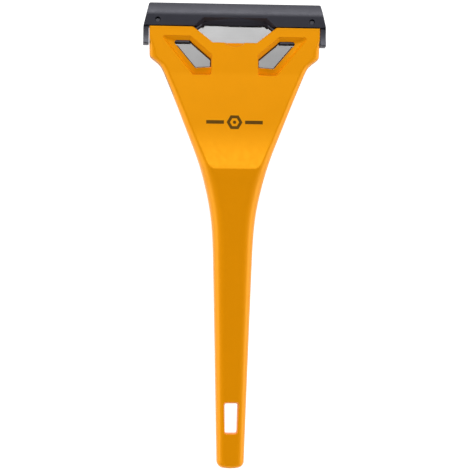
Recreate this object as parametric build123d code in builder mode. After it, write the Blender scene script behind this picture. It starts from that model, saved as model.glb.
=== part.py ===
from build123d import *
import os
from math import cos, radians, sin, tan

# A wide-blade scraper with a long cranked handle, in millimetres.
# It lies on its back on a table, front face up: +Z is up, +Y runs along the handle towards the cutting
# edge and X runs across. The origin is on the table, under the middle of the whole scraper.
# The head leans a few degrees, so its pieces are placed in the head's own plane: x across,
# v along the head towards the cutting edge, w out of the head's front. w = 0 is the blade's front face.

# ---- driving dimensions ----
HALF_LENGTH = 141.5  # half of the whole scraper's length, guard on
HEAD_TILT = 4.0  # the head slopes down towards the cutting edge by this many degrees
HEAD_Y = 100.0  # where the head plane's origin lies along the scraper
BLADE_FACE_Z = 7.4  # height of the blade's front face at that origin

BLADE_WIDTH = 100.0
BLADE_DEPTH = 40.0
BLADE_CLIP = (12.0, 13.1)  # what is clipped off each back corner: across and along
BLADE_THICK = 0.8
BLADE_EDGE_V = 38.4  # the cutting edge
GRIND = 3.0  # length of the ground bevel
GRIND_LEFT = 0.1  # steel left at the cutting edge

GAP = 0.3  # room between pieces that move past each other
SEAT_GAP = 0.3  # room around the blade and the clamp in their recess

# handle body: half widths (x) at stations (y), from the front edge back to the handle's end
HEAD_HALF = 52.15
HEAD_FRONT_V = 27.3
SHOULDER = [(51.8, 109.6), (51.3, 108.6), (46.3, 104.4), (43.9, 101.0)]
TAPER_END = (24.2, 52.2)
NECK = [(17.8, 32.6), (13.7, 13.1)]
GRIP_START = (12.0, -8.0)
GRIP_END = (8.3, -137.0)
END_RADIUS = 4.5  # corners of the handle's end, seen from the front
TAIL_ROUND = 3.0  # rounding of its lower edge

PLATE_TOP = 4.2  # the head's front face, above the blade's front face
WALL_BOTTOM = -4.3  # the back of the head's side walls
RAMP_V = -42.2  # where the front face starts to rise
RAMP_ROUND = 30.0  # bend at the foot of the rise
CREST_V = -60.4  # the ridge between head and handle
CREST_W = 8.2
CREST_SLOPE = 4.6  # the handle's front leaves the ridge this steeply, in degrees
TAIL_SLOPE = 1.8  # and reaches its end this steeply
TAIL_HEIGHT = 10.0  # the handle's thickness at its end
BELLY = [(40.0, 5.0), (72.0, 4.9)]  # the back of the handle, as (y, z)
CROWN_RADIUS = 2.0  # rounding along the front edges

# openings in the head's front plate, as (x, v) on the +X side
NOTCH_TOP_HALF = 25.7
NOTCH_FLOOR_HALF = 13.4
NOTCH_FLOOR_V = 17.6
WINDOW = [(37.0, 18.1), (27.6, 18.1), (14.7, 7.4), (14.7, 2.8), (23.9, 2.8)]
WINDOW_RIM = [(45.0, 21.0), (27.6, 21.0), (14.0, 9.7), (14.6, -2.4), (25.4, -2.4)]
WINDOW_LIP = 1.3  # depth of the window's straight wall, next to the blade

# hanging slot
SLOT_TOP_Y = -101.9
SLOT_BOTTOM_Y = -120.2
SLOT_TOP_HALF = 4.1
SLOT_BOTTOM_HALF = 3.7
SLOT_CORNER = 1.3

# blade clamp, as (x, v) on the +X side
CLAMP_OUTLINE = [(49.6, 26.6), (49.6, 10.6), (37.6, -2.0), (30.4, -20.0)]
CLAMP_THICK = 3.2
CLAMP_CORNER = 1.5

# fasteners
SCREW_SPOTS = {"centre": (0.0, 7.0), "left": (-23.0, -12.0), "right": (23.0, -12.0)}
SHANK_RADIUS = 1.95
SHANK_END_W = 2.5
HEAD_RADIUS = 4.0
HEAD_HEIGHT = 2.3
HEAD_RIM_RADIUS = 1.38
RECESS_ARM = 4.4  # cross recess: tip to tip
RECESS_WIDTH = 1.0
RECESS_DEPTH = 1.4
WASHER_RADIUS = 4.5
WASHER_BORE = 2.15
WASHER_THICK = 0.8
SINK_RADIUS = 4.9
SINK_DEPTH = 1.2
CLEARANCE_RADIUS = 2.3
INSERT_RADIUS = 2.9
INSERT_BORE = 2.0
INSERT_LENGTH = 3.0
INSERT_GROOVE = 0.25  # depth of the groove around the insert
GROOVE_START = 1.2
GROOVE_LENGTH = 0.6
PRESS_GAP = 0.02
BOSS_HOLE_W = 3.0  # depth of the blind holes in the head's back
PEG_SPOT = (42.0, 9.0)
PEG_RADIUS = 1.5
PEG_END_W = -2.4

# ribs in the back of the handle
WALL = 2.6
RIB = 1.8
BAY_START_Y = -92.0
BAY_END_Y = 72.0
BAYS = 7
SKIN = 3.0  # least thickness left under the front face

# guard
GUARD_HALF = 55.85
GUARD_TOP_HALF = 52.6
GUARD_BACK_V = 27.6
GUARD_TOP_V = 41.5
ARM_END_V = 16.2
ARM_W = (-4.0, 3.9)
GUARD_FACETS = [(41.5, 3.8), (35.6, 5.6), (33.2, 5.8), (27.6, 5.1)]  # front face, as (v, w)
GUARD_SHIN_V = 39.4  # the guard's back turns up to its nose here
GUARD_NOSE_W = -2.6
GUARD_SLOT_END_V = 39.0
GUARD_LIP_W = 1.5  # front of the thin inner layer that runs in behind the head's plate
LIP_OUTLINE = [(19.4, 27.9), (26.8, 22.2), (26.8, 16.2), (49.6, 16.2), (49.6, 28.6)]
LIP_POCKET = [(22.2, 28.0), (22.2, 24.4), (26.2, 21.4), (26.2, 15.9), (50.0, 15.9), (50.0, 28.0)]
LIP_POCKET_W = 1.8
GUARD_NOTCH_V = 32.4
GUARD_NOTCH_TOP_HALF = 19.1
GUARD_NOTCH_BACK_HALF = 25.8
DIMPLE_SPOT = (47.1, 30.9)
DIMPLE_RADIUS = 1.8
DIMPLE_FLOOR_W = 4.8

REACH = 60.0  # comfortably past the scraper's half width and height
LOOKS_UP = 0.5  # a face whose normal has more +Z than this is a front face

tilt = radians(HEAD_TILT)
head = Plane(origin=(0, HEAD_Y, BLADE_FACE_Z), x_dir=(1, 0, 0), z_dir=(0, sin(tilt), cos(tilt)))
head_side = Plane(origin=(0, HEAD_Y, BLADE_FACE_Z), x_dir=(0, cos(tilt), -sin(tilt)), z_dir=(1, 0, 0))


def in_side_view(v, w):
    """The (y, z) of a point of the head's plane frame."""
    y = HEAD_Y + v * cos(tilt) + w * sin(tilt)
    z = BLADE_FACE_Z - v * sin(tilt) + w * cos(tilt)
    return y, z


def both_sides(outline):
    """A closed outline from its +X half, mirrored to -X."""
    return outline + [(-x, v) for x, v in reversed(outline)]


def mirrored(outline):
    """The same outline on the -X side."""
    return [(-x, v) for x, v in reversed(outline)]


blade_back_v = BLADE_EDGE_V - BLADE_DEPTH
BLADE_OUTLINE = [
    (BLADE_WIDTH / 2, BLADE_EDGE_V),
    (BLADE_WIDTH / 2, blade_back_v + BLADE_CLIP[1]),
    (BLADE_WIDTH / 2 - BLADE_CLIP[0], blade_back_v),
]


def half_width(y):
    """Half of the handle body's width behind its shoulder, between the outline's points."""
    stations = [SHOULDER[-1], TAPER_END, *NECK, GRIP_START, GRIP_END]
    for (x1, y1), (x2, y2) in zip(stations, stations[1:]):
        if y2 <= y <= y1:
            return x2 + (x1 - x2) * (y - y2) / (y1 - y2)
    raise ValueError("outside the handle")


front_y, front_z = in_side_view(HEAD_FRONT_V, PLATE_TOP)
ramp_foot = in_side_view(RAMP_V, PLATE_TOP)
crest = in_side_view(CREST_V, CREST_W)
tail_top = (-HALF_LENGTH + END_RADIUS, TAIL_HEIGHT)


def front_height(y):
    """Height of the handle's front face, taken straight from the ridge to the tail."""
    y1, z1 = crest
    y2, z2 = tail_top
    return z2 + (z1 - z2) * min(1.0, (y - y2) / (y1 - y2))


# ---- handle body: one moulding with the head's front plate, the handle and the hanging slot ----
with BuildPart() as handle_body:
    with BuildSketch(Plane.XY):
        with BuildLine():
            side = Polyline((HEAD_HALF, front_y), *SHOULDER, TAPER_END)
            Spline(
                TAPER_END,
                *NECK,
                GRIP_START,
                tangents=(side % 1, Vector(*GRIP_END) - Vector(*GRIP_START)),
            )
            Line(GRIP_START, GRIP_END)
            RadiusArc(GRIP_END, (GRIP_END[0] - END_RADIUS, -HALF_LENGTH), radius=END_RADIUS, short_sagitta=True)
            Line((GRIP_END[0] - END_RADIUS, -HALF_LENGTH), (0, -HALF_LENGTH))
            Line((0, front_y), (HEAD_HALF, front_y))
            mirror(about=Plane.YZ)
        make_face()
    extrude(amount=REACH)
    with BuildSketch(Plane.YZ.offset(-REACH)):
        with BuildLine():
            FilletPolyline((front_y, front_z), ramp_foot, crest, radius=RAMP_ROUND)
            Spline(
                crest,
                tail_top,
                tangents=(
                    (-cos(radians(CREST_SLOPE)), -sin(radians(CREST_SLOPE))),
                    (-cos(radians(TAIL_SLOPE)), -sin(radians(TAIL_SLOPE))),
                ),
            )
            Polyline(tail_top, (-HALF_LENGTH, TAIL_HEIGHT), (-HALF_LENGTH, TAIL_ROUND))
            TangentArc((-HALF_LENGTH, TAIL_ROUND), (-HALF_LENGTH + TAIL_ROUND, 0), tangent=(0, -1))
            Polyline(
                (-HALF_LENGTH + TAIL_ROUND, 0),
                *BELLY,
                in_side_view(HEAD_FRONT_V, WALL_BOTTOM),
                in_side_view(HEAD_FRONT_V, PLATE_TOP),
            )
        make_face()
    extrude(amount=2 * REACH, mode=Mode.INTERSECT)

    # every edge that is on only one of the front faces is rounded
    front_faces = handle_body.faces().filter_by(lambda face: face.normal_at().Z > LOOKS_UP)
    shared = [edge for edge in front_faces.edges() if sum(edge in f.edges() for f in front_faces) > 1]
    fillet([edge for edge in front_faces.edges() if edge not in shared], radius=CROWN_RADIUS)

    # V notch in the front edge
    with BuildSketch(head):
        with BuildLine():
            Polyline(
                (NOTCH_TOP_HALF, HEAD_FRONT_V),
                (NOTCH_FLOOR_HALF, NOTCH_FLOOR_V),
                (-NOTCH_FLOOR_HALF, NOTCH_FLOOR_V),
                (-NOTCH_TOP_HALF, HEAD_FRONT_V),
                (-NOTCH_TOP_HALF, HEAD_FRONT_V + REACH),
                (NOTCH_TOP_HALF, HEAD_FRONT_V + REACH),
                close=True,
            )
        make_face()
    extrude(amount=REACH, both=True, mode=Mode.SUBTRACT)

    # side windows: a straight lip by the blade, then slopes out to a wider rim
    for opening, rim in [(WINDOW, WINDOW_RIM), (mirrored(WINDOW), mirrored(WINDOW_RIM))]:
        with BuildSketch(head):
            with BuildLine():
                Polyline(*opening, close=True)
            make_face()
        extrude(amount=WINDOW_LIP, both=True, mode=Mode.SUBTRACT)
        with BuildSketch(head.offset(WINDOW_LIP)):
            with BuildLine():
                Polyline(*opening, close=True)
            make_face()
        with BuildSketch(head.offset(PLATE_TOP)):
            with BuildLine():
                Polyline(*rim, close=True)
            make_face()
        loft(ruled=True, mode=Mode.SUBTRACT)

    # blade seat and clamp seat, open to the back
    with BuildSketch(head):
        with BuildLine():
            Polyline(*both_sides(BLADE_OUTLINE), close=True)
        make_face()
        offset(amount=SEAT_GAP, kind=Kind.INTERSECTION)
    extrude(amount=-REACH, mode=Mode.SUBTRACT)
    with BuildSketch(head.offset(-BLADE_THICK)):
        with BuildLine():
            Polyline(*both_sides(CLAMP_OUTLINE), close=True)
        make_face()
        offset(amount=SEAT_GAP, kind=Kind.INTERSECTION)
    extrude(amount=-REACH, mode=Mode.SUBTRACT)

    # room behind the plate for the guard's thin inner layer
    for pocket in [LIP_POCKET, mirrored(LIP_POCKET)]:
        with BuildSketch(head):
            with BuildLine():
                Polyline(*pocket, close=True)
            make_face()
        extrude(amount=LIP_POCKET_W, mode=Mode.SUBTRACT)

    # pegs that locate the blade
    with BuildSketch(head):
        with Locations(PEG_SPOT, (-PEG_SPOT[0], PEG_SPOT[1])):
            Circle(PEG_RADIUS)
    extrude(amount=PEG_END_W)

    # blind holes for the threaded inserts
    with BuildSketch(head.offset(BOSS_HOLE_W)):
        with Locations(*SCREW_SPOTS.values()):
            Circle(INSERT_RADIUS + PRESS_GAP)
    extrude(amount=-REACH, mode=Mode.SUBTRACT)

    # hanging slot
    with BuildSketch(Plane.XY) as slot:
        with BuildLine():
            Polyline(
                (SLOT_TOP_HALF, SLOT_TOP_Y),
                (SLOT_BOTTOM_HALF, SLOT_BOTTOM_Y),
                (-SLOT_BOTTOM_HALF, SLOT_BOTTOM_Y),
                (-SLOT_TOP_HALF, SLOT_TOP_Y),
                close=True,
            )
        make_face()
        fillet(slot.vertices(), radius=SLOT_CORNER)
    extrude(amount=REACH, mode=Mode.SUBTRACT)

    # open bays in the back, with a rib between each pair and one along the middle
    bay_pitch = (BAY_END_Y - BAY_START_Y) / BAYS
    for bay in range(BAYS):
        low_y = BAY_START_Y + bay * bay_pitch
        high_y = low_y + bay_pitch - RIB
        low_half = half_width(low_y) - WALL
        high_half = half_width(high_y) - WALL
        roof = min(front_height(low_y), front_height(high_y), ramp_foot[1]) - SKIN
        for turn in (1, -1):
            with BuildSketch(Plane.XY):
                with BuildLine():
                    Polyline(
                        (turn * RIB / 2, low_y),
                        (turn * low_half, low_y),
                        (turn * high_half, high_y),
                        (turn * RIB / 2, high_y),
                        close=True,
                    )
                make_face()
            extrude(amount=roof, mode=Mode.SUBTRACT)

# ---- blade ----
with BuildPart() as blade:
    with BuildSketch(head_side):
        with BuildLine():
            Polyline(
                (blade_back_v, 0),
                (BLADE_EDGE_V - GRIND, 0),
                (BLADE_EDGE_V, -(BLADE_THICK - GRIND_LEFT) / 2),
                (BLADE_EDGE_V, -(BLADE_THICK + GRIND_LEFT) / 2),
                (BLADE_EDGE_V - GRIND, -BLADE_THICK),
                (blade_back_v, -BLADE_THICK),
                close=True,
            )
        make_face()
    extrude(amount=BLADE_WIDTH / 2, both=True)
    with BuildSketch(head):
        with BuildLine():
            Polyline(*both_sides(BLADE_OUTLINE), close=True)
        make_face()
    extrude(amount=-REACH, mode=Mode.INTERSECT)
    with BuildSketch(head):
        with Locations(SCREW_SPOTS["centre"]):
            Circle(CLEARANCE_RADIUS)
        with Locations(PEG_SPOT, (-PEG_SPOT[0], PEG_SPOT[1])):
            Circle(PEG_RADIUS + GAP)
    extrude(amount=-REACH, mode=Mode.SUBTRACT)

# ---- blade clamp ----
with BuildPart() as blade_clamp:
    with BuildSketch(head.offset(-BLADE_THICK)) as clamp_plan:
        with BuildLine():
            Polyline(*both_sides(CLAMP_OUTLINE), close=True)
        make_face()
        fillet(clamp_plan.vertices(), radius=CLAMP_CORNER)
    extrude(amount=-CLAMP_THICK)
    with BuildSketch(head):
        with Locations(*SCREW_SPOTS.values()):
            Circle(CLEARANCE_RADIUS)
        with Locations(PEG_SPOT, (-PEG_SPOT[0], PEG_SPOT[1])):
            Circle(PEG_RADIUS + GAP)
    extrude(amount=-REACH, mode=Mode.SUBTRACT)
    clamp_seat_w = -BLADE_THICK - CLAMP_THICK + SINK_DEPTH
    with BuildSketch(head.offset(clamp_seat_w)):
        with Locations(*SCREW_SPOTS.values()):
            Circle(SINK_RADIUS)
    extrude(amount=-REACH, mode=Mode.SUBTRACT)

# ---- guard: slides on over the cutting edge, with an arm down each side of the head ----
with BuildPart() as blade_guard:
    back_w_far = GUARD_SHIN_V * tan(tilt) - BLADE_FACE_Z / cos(tilt)
    back_w_near = GUARD_BACK_V * tan(tilt) - BLADE_FACE_Z / cos(tilt)
    with BuildSketch(head_side):
        with BuildLine():
            Polyline(
                *GUARD_FACETS,
                (GUARD_BACK_V, back_w_near),
                (GUARD_SHIN_V, back_w_far),
                (GUARD_TOP_V, GUARD_NOSE_W),
                close=True,
            )
        make_face()
    extrude(amount=GUARD_HALF, both=True)
    with BuildSketch(head.offset(ARM_W[0])):
        with Locations((GUARD_HALF, ARM_END_V), (-GUARD_HALF, ARM_END_V)):
            Rectangle(2 * (GUARD_HALF - HEAD_HALF - GAP), 2 * (GUARD_BACK_V - ARM_END_V))
        with Locations((0, ARM_END_V)):
            Rectangle(2 * GUARD_HALF, REACH, align=(Align.CENTER, Align.MIN), mode=Mode.INTERSECT)
    extrude(amount=ARM_W[1] - ARM_W[0])
    # the inner layer
    for tongue in [LIP_OUTLINE, mirrored(LIP_OUTLINE)]:
        with BuildSketch(head.offset(GAP)):
            with BuildLine():
                Polyline(*tongue, close=True)
            make_face()
        extrude(amount=GUARD_LIP_W - GAP)
    # ends that slope in towards the nose
    end_slope = [
        (GUARD_HALF, GUARD_BACK_V),
        (GUARD_TOP_HALF, GUARD_TOP_V),
        (GUARD_TOP_HALF, REACH),
        (GUARD_HALF + REACH, REACH),
        (GUARD_HALF + REACH, GUARD_BACK_V),
    ]
    for outline in [end_slope, mirrored(end_slope)]:
        with BuildSketch(head):
            with BuildLine():
                Polyline(*outline, close=True)
            make_face()
        extrude(amount=REACH, both=True, mode=Mode.SUBTRACT)
    # slot for the blade
    with BuildSketch(head.offset(GAP)):
        with Locations((0, GUARD_SLOT_END_V)):
            Rectangle(BLADE_WIDTH + 2 * GAP, REACH, align=(Align.CENTER, Align.MAX))
    extrude(amount=-(BLADE_THICK + 2 * GAP), mode=Mode.SUBTRACT)
    # notch through the front layer
    with BuildSketch(head.offset(GUARD_LIP_W)):
        with BuildLine():
            Polyline(
                (GUARD_NOTCH_TOP_HALF, GUARD_NOTCH_V),
                (GUARD_NOTCH_BACK_HALF, GUARD_BACK_V),
                (-GUARD_NOTCH_BACK_HALF, GUARD_BACK_V),
                (-GUARD_NOTCH_TOP_HALF, GUARD_NOTCH_V),
                close=True,
            )
        make_face()
    extrude(amount=REACH, mode=Mode.SUBTRACT)
    # dimples near the ends
    with BuildSketch(head.offset(DIMPLE_FLOOR_W)):
        with Locations(DIMPLE_SPOT, (-DIMPLE_SPOT[0], DIMPLE_SPOT[1])):
            Circle(DIMPLE_RADIUS)
    extrude(amount=REACH, mode=Mode.SUBTRACT)

# ---- fasteners: a screw, its washer and its threaded insert at each spot ----
washer_top_w = clamp_seat_w
screw_head_w = washer_top_w - WASHER_THICK
fasteners = {}
for place, spot in SCREW_SPOTS.items():
    insert_foot_w = 0.0 if place == "centre" else -BLADE_THICK

    with BuildPart() as insert:
        with BuildSketch(head.offset(insert_foot_w)):
            with Locations(spot):
                Circle(INSERT_RADIUS)
                Circle(INSERT_BORE, mode=Mode.SUBTRACT)
        extrude(amount=INSERT_LENGTH)
        with BuildSketch(head.offset(insert_foot_w + GROOVE_START)):
            with Locations(spot):
                Circle(INSERT_RADIUS)
                Circle(INSERT_RADIUS - INSERT_GROOVE, mode=Mode.SUBTRACT)
        extrude(amount=GROOVE_LENGTH, mode=Mode.SUBTRACT)
    fasteners["insert_" + place] = insert

    with BuildPart() as washer:
        with BuildSketch(head.offset(washer_top_w)):
            with Locations(spot):
                Circle(WASHER_RADIUS)
                Circle(WASHER_BORE, mode=Mode.SUBTRACT)
        extrude(amount=-WASHER_THICK)
    fasteners["washer_" + place] = washer

    with BuildPart() as screw:
        with BuildSketch(head.offset(screw_head_w)):
            with Locations(spot):
                Circle(HEAD_RADIUS)
        extrude(amount=-HEAD_HEIGHT)
        rim = screw.faces().sort_by(Axis.Z)[0].edges()
        fillet(rim, radius=HEAD_RIM_RADIUS)
        with BuildSketch(head.offset(screw_head_w)):
            with Locations(spot):
                Circle(SHANK_RADIUS)
        extrude(amount=SHANK_END_W - screw_head_w)
        with BuildSketch(head.offset(screw_head_w - HEAD_HEIGHT)):
            with Locations(spot):
                Rectangle(RECESS_ARM, RECESS_WIDTH)
                Rectangle(RECESS_WIDTH, RECESS_ARM)
        extrude(amount=RECESS_DEPTH, mode=Mode.SUBTRACT)
    fasteners["clamp_screw_" + place] = screw

pieces = {
    "handle_body": handle_body,
    "blade": blade,
    "blade_clamp": blade_clamp,
    "blade_guard": blade_guard,
    **fasteners,
}
os.makedirs("parts", exist_ok=True)
for name, piece in pieces.items():
    piece.part.label = name
    export_step(piece.part, f"parts/{name}.step")
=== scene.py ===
import math

import bpy
import numpy as np
from mathutils import Matrix, Vector


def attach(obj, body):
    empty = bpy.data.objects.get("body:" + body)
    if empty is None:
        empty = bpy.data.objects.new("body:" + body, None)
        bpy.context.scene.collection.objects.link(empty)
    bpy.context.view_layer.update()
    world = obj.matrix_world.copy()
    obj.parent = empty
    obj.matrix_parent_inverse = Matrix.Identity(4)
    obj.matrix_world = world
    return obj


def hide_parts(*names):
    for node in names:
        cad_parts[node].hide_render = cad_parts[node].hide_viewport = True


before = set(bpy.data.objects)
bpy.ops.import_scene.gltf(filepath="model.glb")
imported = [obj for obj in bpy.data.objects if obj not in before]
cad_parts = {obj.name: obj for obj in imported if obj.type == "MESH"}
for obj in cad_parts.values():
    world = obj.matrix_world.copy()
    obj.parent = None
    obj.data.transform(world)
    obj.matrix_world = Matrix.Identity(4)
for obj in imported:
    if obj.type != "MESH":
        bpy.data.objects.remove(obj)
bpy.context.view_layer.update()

bl_info = {
    "name": "Window Scraper",
    "version": (1, 0, 0),
    "blender": (4, 5, 0),
    "location": "3D View > Sidebar > Scraper",
    "description": "Builds a long-handled scraper with a wide clamped blade and a slide-off blade guard",
    "category": "Object",
}

MM = 0.001

# The head leans, so its shapes are written in its own axes: x across, v along the head towards the
# cutting edge, w out of the head's front. w = 0 is the blade's front face. All of them are millimetres.
HEAD_TILT = math.radians(4.0)
HEAD_Y = 100.0
BLADE_FACE_Z = 7.4
BLADE_THICK = 0.8
REACH = 60.0  # past everything
ARC_POINTS = 5  # points of each rounded corner


# ---------------------------------------------------------------- places

def in_head(x, v, w):
    """Head axes to the scraper's own: a turn by the head's tilt about x, then a shift."""
    y = HEAD_Y + v * math.cos(HEAD_TILT) + w * math.sin(HEAD_TILT)
    z = BLADE_FACE_Z - v * math.sin(HEAD_TILT) + w * math.cos(HEAD_TILT)
    return np.stack(np.broadcast_arrays(x, y, z), -1)


def on_table(x, y, z):
    """The scraper's own axes, as they are."""
    return np.stack(np.broadcast_arrays(x, y, z), -1)


def head_height(y, w):
    """Height z at which a level w of the head passes over y."""
    return BLADE_FACE_Z - (y - HEAD_Y) * math.tan(HEAD_TILT) + w / math.cos(HEAD_TILT)


# ---------------------------------------------------------------- outlines

def ease(t):
    """0 below t = 0, 1 above t = 1, and the cubic 3tt - 2ttt between them."""
    t = np.clip(t, 0.0, 1.0)
    return t * t * (3.0 - 2.0 * t)


def through(points, at):
    """A curve through (station, value) points without overshoot: cubic Hermite pieces whose end slopes
    are the harmonic mean of the two chords there, or 0 at a turning point."""
    s, p = np.array(sorted(points), float).T
    chord = np.diff(p) / np.diff(s)
    slope = np.empty_like(p)
    slope[0], slope[-1] = chord[0], chord[-1]
    same = chord[:-1] * chord[1:] > 0
    total = np.where(same, chord[:-1] + chord[1:], 1.0)
    slope[1:-1] = np.where(same, 2.0 * chord[:-1] * chord[1:] / total, 0.0)
    at = np.clip(at, s[0], s[-1])
    i = np.clip(np.searchsorted(s, at) - 1, 0, len(s) - 2)
    step = s[i + 1] - s[i]
    t = (at - s[i]) / step
    return (
        p[i] * (1 + 2 * t) * (1 - t) ** 2
        + slope[i] * step * t * (1 - t) ** 2
        + p[i + 1] * t * t * (3 - 2 * t)
        + slope[i + 1] * step * t * t * (t - 1)
    )


def soft_min(a, b, width):
    """The lower of a and b, with the corner rounded off over a difference of width."""
    share = np.clip(0.5 + 0.5 * (b - a) / width, 0.0, 1.0)
    return b + (a - b) * share - width * share * (1.0 - share)


def counterclockwise(outline):
    """The outline, turned round if its signed area is negative."""
    x, y = np.asarray(outline, float).T
    area = np.sum(x * np.roll(y, -1) - np.roll(x, -1) * y)
    return np.asarray(outline, float)[:: 1 if area > 0 else -1]


def grown(outline, by):
    """The outline moved out by a distance: each corner goes along its two edges' normals until both
    edges have moved by it."""
    p = counterclockwise(outline)
    edge = np.roll(p, -1, 0) - p
    edge /= np.linalg.norm(edge, axis=1, keepdims=True)
    normal = np.stack([edge[:, 1], -edge[:, 0]], 1)
    before = np.roll(normal, 1, 0)
    both = before + normal
    return p + by * both / (1.0 + np.sum(before * normal, 1, keepdims=True))


def rounded(outline, radius):
    """The outline with an arc of this radius at each corner. radius is one number or one per corner."""
    p = counterclockwise(outline)
    r = np.broadcast_to(np.asarray(radius, float), (len(p),))
    back, on = np.roll(p, 1, 0) - p, np.roll(p, -1, 0) - p
    back /= np.linalg.norm(back, axis=1, keepdims=True)
    on /= np.linalg.norm(on, axis=1, keepdims=True)
    half = 0.5 * np.arccos(np.clip(np.sum(back * on, 1), -1, 1))
    middle = back + on
    middle /= np.linalg.norm(middle, axis=1, keepdims=True)
    centre = p + middle * (r / np.sin(half))[:, None]
    start = p + back * (r / np.tan(half))[:, None] - centre
    end = p + on * (r / np.tan(half))[:, None] - centre
    t = np.linspace(0.0, 1.0, ARC_POINTS)[None, :, None]
    turn = (math.pi - 2.0 * half)[:, None, None]
    arc = (np.sin((1 - t) * turn) * start[:, None] + np.sin(t * turn) * end[:, None]) / np.sin(turn)
    return (centre[:, None] + arc).reshape(-1, 2)


def mirrored(outline):
    """The outline on the other side of x = 0."""
    return [(-x, v) for x, v in reversed(list(outline))]


def both_sides(outline):
    """A closed outline from its +x half."""
    return list(outline) + mirrored(outline)


def circle(spot, radius, steps=48):
    """A circle's points: radius at equal angles round the spot."""
    a = np.linspace(0.0, 2.0 * math.pi, steps, endpoint=False)
    return np.stack([spot[0] + radius * np.cos(a), spot[1] + radius * np.sin(a)], 1)


# ---------------------------------------------------------------- meshes

def make_object(name, points, faces):
    """A new object from points in millimetres."""
    mesh = bpy.data.meshes.new(name)
    mesh.from_pydata((np.asarray(points) * MM).tolist(), [], faces)
    mesh.update()
    obj = bpy.data.objects.new(name, mesh)
    bpy.context.scene.collection.objects.link(obj)
    return obj


def stacked(rings):
    """Points and faces of a skin over rings of points, shape (rings, points, 3), with both ends capped.
    Point i of ring r is number r * n + i, and each face joins two neighbours on two rings."""
    rings = np.asarray(rings, float)
    count, n = rings.shape[:2]
    r, i = np.meshgrid(np.arange(count - 1), np.arange(n), indexing="ij")
    j = (i + 1) % n
    quads = np.stack([r * n + i, r * n + j, (r + 1) * n + j, (r + 1) * n + i], -1).reshape(-1, 4)
    caps = [list(range(n))[::-1], list(range((count - 1) * n, count * n))]
    return rings.reshape(-1, 3), quads.tolist() + caps


def stack(name, levels, place=in_head):
    """A closed solid from (outline, level) pairs, lowest level first, in the given axes. A level is one
    number or one per point."""
    rings = [place(*counterclockwise(outline).T, level) for outline, level in levels]
    return make_object(name, *stacked(rings))


def revolved(profile, spot, steps, radius_at):
    """Points of a (radius, w) profile at equal angles round the w axis through the spot, as an array of
    shape (profile, steps, 3). radius_at(radius, angle, w) may change the radius."""
    r, w = np.asarray(profile, float).T[..., None]
    r, a, w = np.broadcast_arrays(r, np.linspace(0.0, 2.0 * math.pi, steps, endpoint=False), w)
    if radius_at:
        r = radius_at(r, a, w)
    return in_head(spot[0] + r * np.cos(a), spot[1] + r * np.sin(a), w)


def turned(name, profile, spot, steps=48, radius_at=None):
    """A solid of revolution. Its profile runs from the axis at the bottom to the axis at the top."""
    return make_object(name, *stacked(revolved(profile, spot, steps, radius_at)))


def ring_solid(name, profile, spot, steps=64, radius_at=None):
    """A ring: a closed profile carried round the axis, its points numbered profile first."""
    points = revolved(counterclockwise(profile), spot, steps, radius_at).swapaxes(0, 1)
    n = points.shape[1]
    k, i = np.meshgrid(np.arange(steps), np.arange(n), indexing="ij")
    k2, i2 = (k + 1) % steps, (i + 1) % n
    quads = np.stack([k * n + i, k2 * n + i, k2 * n + i2, k * n + i2], -1).reshape(-1, 4)
    return make_object(name, points.reshape(-1, 3), quads.tolist())


def apply_modifiers(obj):
    """Replaces the mesh by the result of the modifiers."""
    graph = bpy.context.evaluated_depsgraph_get()
    made = bpy.data.meshes.new_from_object(obj.evaluated_get(graph))
    old = obj.data
    obj.modifiers.clear()
    obj.data = made
    made.name = obj.name
    bpy.data.meshes.remove(old)
    return obj


def combine(obj, others, operation):
    """Cuts the other solids out of obj, or joins them to it, and removes them."""
    for other in others:
        step = obj.modifiers.new(operation.lower(), "BOOLEAN")
        step.operation = operation
        step.solver = "MANIFOLD"
        step.object = other
        apply_modifiers(obj)
        mesh = other.data
        bpy.data.objects.remove(other)
        bpy.data.meshes.remove(mesh)
    return obj


def cut(obj, *others):
    """Takes the other solids away from obj."""
    return combine(obj, others, "DIFFERENCE")


def join(obj, *others):
    """Adds the other solids to obj."""
    return combine(obj, others, "UNION")


def shade(obj, angle):
    """Smooth shading, with edges sharper than the angle kept sharp."""
    obj.data.shade_smooth()
    obj.data.set_sharp_from_angle(angle=math.radians(angle))
    return obj


def round_edges(obj, width):
    """Rounds every edge sharper than 25 degrees, with a round of this width in metres."""
    bevel = obj.modifiers.new("round", "BEVEL")
    bevel.width = width
    bevel.segments = 3
    bevel.limit_method = "ANGLE"
    bevel.angle_limit = math.radians(25.0)
    bevel.harden_normals = True
    bevel.use_clamp_overlap = True
    obj.data.shade_smooth()
    return apply_modifiers(obj)


def finish_piece(obj, material, body, slot, *nodes):
    """Gives the piece its material and its place in the frame."""
    obj.data.materials.clear()
    obj.data.materials.append(material)
    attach(obj, body)
    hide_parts(*nodes)


# ---------------------------------------------------------------- shader maths

class Wire:
    """A socket that takes part in sums. Each operator adds the Math node that it stands for."""

    def __init__(self, finish, socket):
        self.finish = finish
        self.socket = socket

    def sum_with(self, operation, *others, swapped=False):
        """The result of a Math node on this wire and the others."""
        values = [self, *others]
        if swapped:
            values.reverse()
        made = self.finish.node("ShaderNodeMath", {"operation": operation}, dict(enumerate(values)))
        return Wire(self.finish, made.outputs[0])

    def __add__(self, other):
        return self.sum_with("ADD", other)

    __radd__ = __add__

    def __sub__(self, other):
        return self.sum_with("SUBTRACT", other)

    def __rsub__(self, other):
        return self.sum_with("SUBTRACT", other, swapped=True)

    def __mul__(self, other):
        return self.sum_with("MULTIPLY", other)

    __rmul__ = __mul__

    def __truediv__(self, other):
        return self.sum_with("DIVIDE", other)

    def clamped(self):
        """Held between 0 and 1."""
        return self.sum_with("MAXIMUM", 0.0).sum_with("MINIMUM", 1.0)

    def above(self, edge, width):
        """0 below the edge and 1 above it, going over evenly across the width."""
        return ((self - (edge - 0.5 * width)) / width).clamped()


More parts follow.
